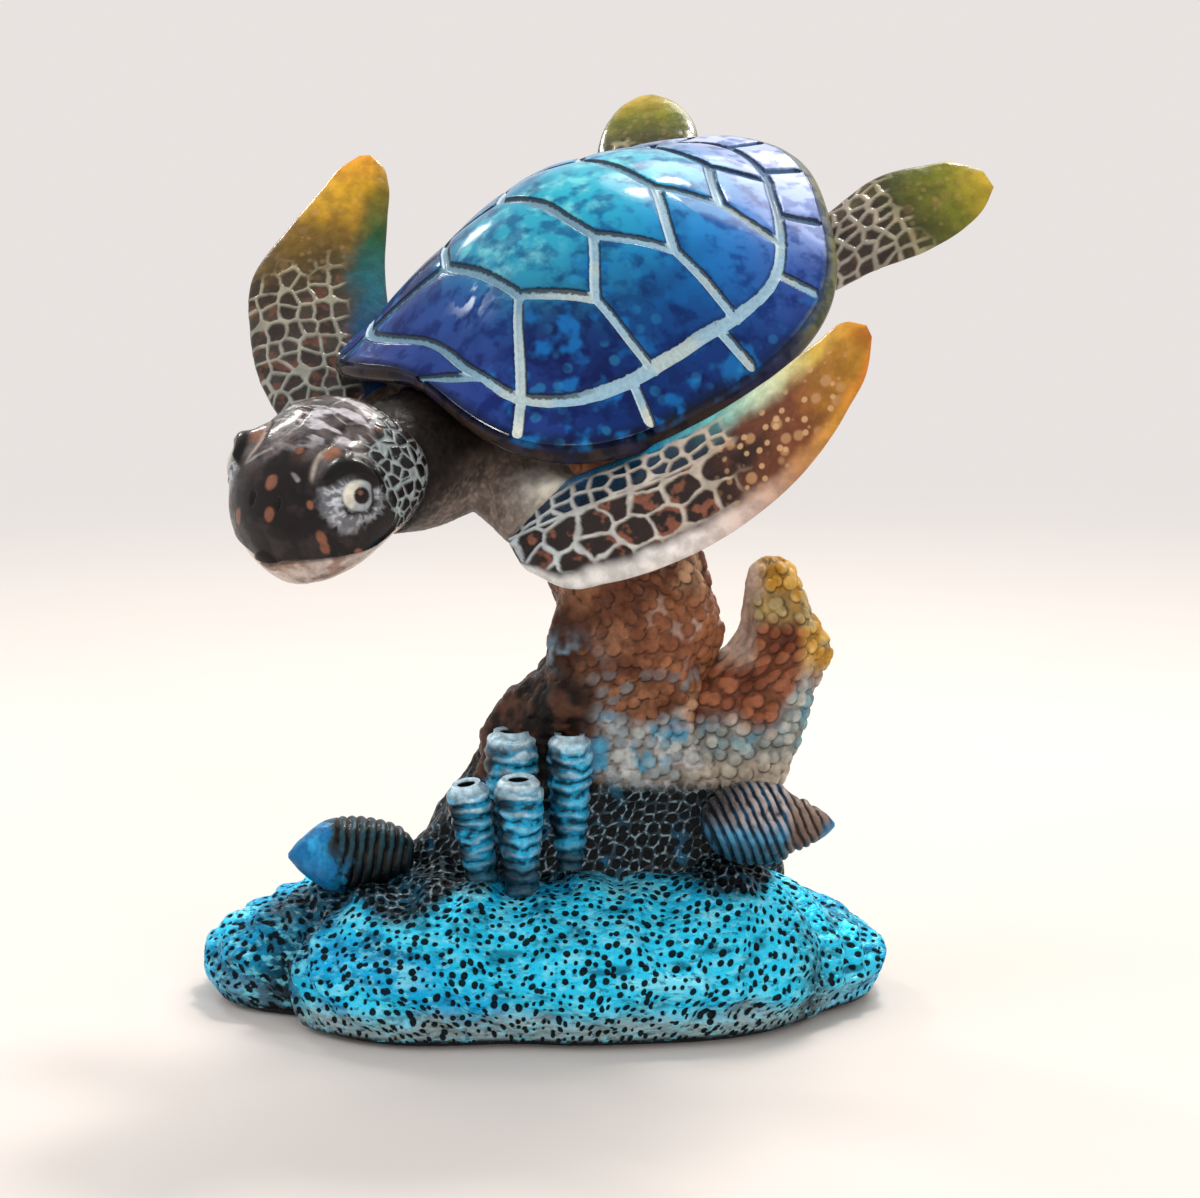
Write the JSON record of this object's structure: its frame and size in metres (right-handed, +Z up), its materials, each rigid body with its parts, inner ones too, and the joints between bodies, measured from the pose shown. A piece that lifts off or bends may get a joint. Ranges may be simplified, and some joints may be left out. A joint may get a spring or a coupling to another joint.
{
  "type": "sea turtle figurine",
  "caption": "Ornament of a sea turtle swimming nose down over a coral column on a pitted rock base.",
  "frame": {"origin": "on the underside of the felt pad, under the foot of the coral column", "axes": "+Z up, -Y towards the viewer of the front, where the turtle heads down to -X"},
  "size_m": [0.1064, 0.0809, 0.1236],
  "materials": {
    "felt": "dark felt sheet",
    "rock_paint": "resin in metallic turquoise over black, lacquered",
    "coral_brown": "resin, brown with pale dry-brushed tips, lacquered",
    "coral_gold": "resin, golden brown fading to pale blue, lacquered",
    "sponge_silver": "resin in silvery blue over black, lacquered",
    "shell_teal": "resin in dark teal and blue, lacquered",
    "pin_steel": "plain steel rod",
    "skin_grey": "resin in stippled grey-brown, lacquered",
    "carapace_blue": "resin in blue inks under clear gloss lacquer",
    "head_charcoal": "resin in charcoal with pale lines, lacquered",
    "flipper_scales": "resin, brown scales with pale lines, lacquered"
  },
  "bodies": {
    "root": {"felt_pad": "felt", "base_rock": "rock_paint", "coral_column": "coral_brown", "coral_branch": "coral_gold", "tube_sponge_front_left": "sponge_silver", "tube_sponge_front_centre": "sponge_silver", "tube_sponge_rear_left": "sponge_silver", "tube_sponge_right": "sponge_silver", "spiral_shell_left": "shell_teal", "spiral_shell_right": "shell_teal", "support_pin": "pin_steel", "turtle_body": "skin_grey", "carapace": "carapace_blue", "head": "head_charcoal", "front_flipper_left": "flipper_scales", "front_flipper_right": "flipper_scales", "rear_flipper_left": "flipper_scales", "rear_flipper_right": "flipper_scales"}
  },
  "joints": []
}
